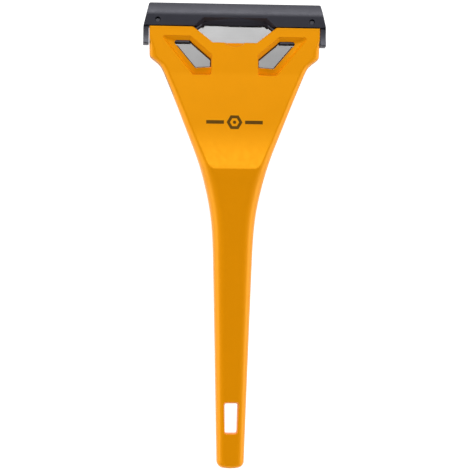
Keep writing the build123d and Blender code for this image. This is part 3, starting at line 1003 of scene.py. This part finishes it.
class StageSettings(bpy.types.PropertyGroup):
    floor_glow: bpy.props.FloatProperty(
        name="Floor glow", description="Light that the floor gives back by itself",
        min=0.0, max=2.0, default=0.9,
    )
    floor_level: bpy.props.FloatProperty(
        name="Floor level", description="Height of the floor", subtype="DISTANCE", unit="LENGTH",
        default=-0.04,
    )
    key: bpy.props.FloatProperty(
        name="Key light", description="Power of the low light beyond the head", unit="POWER", default=2.2,
    )
    sides: bpy.props.FloatProperty(
        name="Side lights", description="Power of each low side light", unit="POWER", default=4.8,
    )
    tail: bpy.props.FloatProperty(
        name="Tail light", description="Power of the low light beyond the tail", unit="POWER", default=1.8,
    )
    sheen: bpy.props.FloatProperty(
        name="Sheen light", description="Power of the high light that the ramp and the blade mirror",
        unit="POWER", default=34.0,
    )
    sky: bpy.props.FloatProperty(
        name="Surround", description="Strength of the even surround", min=0.0, max=3.0, default=0.04,
    )
    yaw: bpy.props.FloatProperty(
        name="Camera yaw", description="How far the camera stands to the left", subtype="ANGLE",
        unit="ROTATION", default=math.radians(3.5),
    )
    pitch: bpy.props.FloatProperty(
        name="Camera pitch", description="How far the camera stands towards the tail", subtype="ANGLE",
        unit="ROTATION", default=math.radians(1.15),
    )
    roll: bpy.props.FloatProperty(
        name="Camera roll", description="Turn about the line of sight", subtype="ANGLE", unit="ROTATION",
        default=math.radians(0.59),
    )
    distance: bpy.props.FloatProperty(
        name="Camera distance", description="From the camera to the middle of the scraper", subtype="DISTANCE",
        unit="LENGTH", default=1.2,
    )
    aim: bpy.props.FloatVectorProperty(
        name="Camera aim", description="Where the line of sight crosses the scraper's middle height",
        subtype="TRANSLATION", unit="LENGTH", size=2, default=(0.00137, 0.00048),
    )
    width: bpy.props.FloatProperty(
        name="Picture width", description="Width of what the picture takes in", subtype="DISTANCE",
        unit="LENGTH", default=0.28645,
    )


# ---------------------------------------------------------------- operators

FLOOR_HALF = 15000.0
MIDDLE = Vector((0.0, 0.0, 0.008))  # of the scraper, in metres
# a light's name, place, width and height in metres, and the setting that holds its power
LIGHTS = [
    ("key", (0.0, 1.15, 0.34), 0.9, 0.36, "key"),
    ("side", (-1.0, -0.06, 0.19), 0.8, 0.25, "sides"),
    ("side", (1.0, -0.06, 0.19), 0.8, 0.25, "sides"),
    ("tail", (0.0, -0.75, 0.28), 0.5, 0.2, "tail"),
    ("sheen", (0.0, 1.40, 1.96), 0.8, 0.6, "sheen"),
]


class SCRAPER_OT_handle(bpy.types.Operator):
    """Builds the orange moulding: head, handle and hanging slot"""

    bl_idname = "scraper.handle"
    bl_label = "Handle Moulding"

    def execute(self, context):
        obj = make_object("handle_moulding", *stacked(handle_rings()))
        cut(obj, *back_cutters())
        cut(obj, *front_cutters())
        for spot in PEG_SPOTS:
            join(obj, stack("peg", [(circle(spot, 1.3, 24), -2.4), (circle(spot, 1.5, 24), -2.1),
                                    (circle(spot, 1.5, 24), 0.6)]))
        shade(obj, 24.0)
        material = orange_plastic(context.scene.scraper_handle)
        finish_piece(obj, material, "handle", "orange_plastic", "handle_body")
        return {"FINISHED"}


class SCRAPER_OT_blade(bpy.types.Operator):
    """Gives the steel blade its brushed and ground finish"""

    bl_idname = "scraper.blade"
    bl_label = "Blade"

    def execute(self, context):
        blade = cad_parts["blade"]
        blade.data.materials.clear()
        blade.data.materials.append(blade_steel(context.scene.scraper_blade))
        return {"FINISHED"}


class SCRAPER_OT_guard(bpy.types.Operator):
    """Builds the blade guard"""

    bl_idname = "scraper.guard"
    bl_label = "Blade Guard"

    def execute(self, context):
        settings = context.scene.scraper_guard
        obj = round_edges(guard_shape(), settings.edge_round)
        obj.data.attributes.remove(obj.data.attributes["custom_normal"])
        cut(obj, *(dimple_shape((side * DIMPLE[0], DIMPLE[1])) for side in (1.0, -1.0)))
        shade(obj, 40.0)
        even = obj.modifiers.new("even", "WEIGHTED_NORMAL")
        even.keep_sharp = True
        apply_modifiers(obj)
        finish_piece(obj, charcoal_plastic(settings), "guard", "charcoal_plastic", "blade_guard")
        return {"FINISHED"}


class SCRAPER_OT_clamp(bpy.types.Operator):
    """Builds the clamp plate on the back of the head"""

    bl_idname = "scraper.clamp"
    bl_label = "Blade Clamp"

    def execute(self, context):
        material = bpy.data.materials["charcoal_plastic"]
        finish_piece(clamp_shape(), material, "clamp", "charcoal_plastic", "blade_clamp")
        return {"FINISHED"}


class SCRAPER_OT_fasteners(bpy.types.Operator):
    """Finishes the clamp screws, their washers and the threaded inserts"""

    bl_idname = "scraper.fasteners"
    bl_label = "Fasteners"

    def execute(self, context):
        settings = context.scene.scraper_fasteners
        zinc, yellow = zinc_steel(settings), brass(settings)
        for side, spot in SCREW_SPOTS.items():
            foot = 0.0 if side == "centre" else -BLADE_THICK
            screw = screw_shape(settings, spot)
            finish_piece(screw, zinc, "screw_" + side, "zinc_steel", "clamp_screw_" + side)
            finish_piece(washer_shape(spot), zinc, "washer_" + side, "zinc_steel", "washer_" + side)
            finish_piece(insert_shape(spot, foot), yellow, "handle", "brass", "insert_" + side)
        return {"FINISHED"}


class SCRAPER_OT_stage(bpy.types.Operator):
    """Sets the floor, the lights and the camera"""

    bl_idname = "scraper.stage"
    bl_label = "Stage"

    def execute(self, context):
        settings = context.scene.scraper_stage
        scene = context.scene
        scene.view_settings.view_transform = "Standard"
        # the parts that come out of the back at the joints' limits stay above it
        level = settings.floor_level / MM
        corners = [(x * FLOOR_HALF, y * FLOOR_HALF, level) for x, y in ((-1, -1), (1, -1), (1, 1), (-1, 1))]
        floor = make_object("floor", corners, [[0, 1, 2, 3]])
        floor.data.materials.append(floor_paper(settings))
        world = bpy.data.worlds.new("surround")
        world.use_nodes = True
        background = world.node_tree.nodes["Background"]
        background.inputs["Color"].default_value = WHITE
        background.inputs["Strength"].default_value = settings.sky
        scene.world = world
        for name, place, width, height, power in LIGHTS:
            add_light(name, place, width, height, getattr(settings, power))
        aim = Vector((*settings.aim, MIDDLE.z))
        yaw, pitch = settings.yaw, settings.pitch
        back = Vector((-math.sin(yaw), -math.sin(pitch), math.cos(yaw) * math.cos(pitch))).normalized()
        lens = bpy.data.cameras.new("camera")
        lens.lens = lens.sensor_width * settings.distance / settings.width
        camera = bpy.data.objects.new("camera", lens)
        scene.collection.objects.link(camera)
        right = Vector((0.0, 1.0, 0.0)).cross(back).normalized()
        up = back.cross(right)
        turn = Matrix((right, up, back)).transposed() @ Matrix.Rotation(settings.roll, 3, "Z")
        camera.matrix_world = Matrix.Translation(aim + back * settings.distance) @ turn.to_4x4()
        lens.clip_start, lens.clip_end = 0.05, 20.0
        scene.camera = camera
        return {"FINISHED"}


def add_light(name, place, width, height, power):
    """A soft rectangular light that looks towards the middle of the scraper."""
    data = bpy.data.lights.new(name, "AREA")
    data.shape = "RECTANGLE"
    data.size, data.size_y = width, height
    data.energy = power
    light = bpy.data.objects.new(name, data)
    light.location = place
    light.rotation_mode = "QUATERNION"
    light.rotation_quaternion = (MIDDLE - Vector(place)).to_track_quat("-Z", "Y")
    bpy.context.scene.collection.objects.link(light)


class SCRAPER_PT_panel(bpy.types.Panel):
    """Lists the steps that build the scraper"""

    bl_idname = "SCRAPER_PT_panel"
    bl_label = "Window Scraper"
    bl_space_type = "VIEW_3D"
    bl_region_type = "UI"
    bl_category = "Scraper"

    def draw(self, context):
        for operator, group in STEPS:
            self.layout.operator(operator)
            if group:
                settings = getattr(context.scene, group)
                for name in settings.bl_rna.properties.keys():
                    if name not in ("rna_type", "name"):
                        self.layout.prop(settings, name)


STEPS = [
    ("scraper.handle", "scraper_handle"),
    ("scraper.blade", "scraper_blade"),
    ("scraper.guard", "scraper_guard"),
    ("scraper.clamp", None),
    ("scraper.fasteners", "scraper_fasteners"),
    ("scraper.stage", "scraper_stage"),
]
GROUPS = {
    "scraper_handle": HandleSettings,
    "scraper_blade": BladeSettings,
    "scraper_guard": GuardSettings,
    "scraper_fasteners": FastenerSettings,
    "scraper_stage": StageSettings,
}
CLASSES = [
    *GROUPS.values(),
    SCRAPER_OT_handle,
    SCRAPER_OT_blade,
    SCRAPER_OT_guard,
    SCRAPER_OT_clamp,
    SCRAPER_OT_fasteners,
    SCRAPER_OT_stage,
    SCRAPER_PT_panel,
]


def register():
    """Registers the classes, and puts each group of settings on the scene."""
    for cls in CLASSES:
        bpy.utils.register_class(cls)
    for name, group in GROUPS.items():
        setattr(bpy.types.Scene, name, bpy.props.PointerProperty(type=group))


def unregister():
    """Takes away what register added."""
    for name in GROUPS:
        delattr(bpy.types.Scene, name)
    for cls in reversed(CLASSES):
        bpy.utils.unregister_class(cls)


def main():
    register()
    for operator, _ in STEPS:
        family, name = operator.split(".")
        getattr(getattr(bpy.ops, family), name)()


if __name__ == "__main__":
    main()
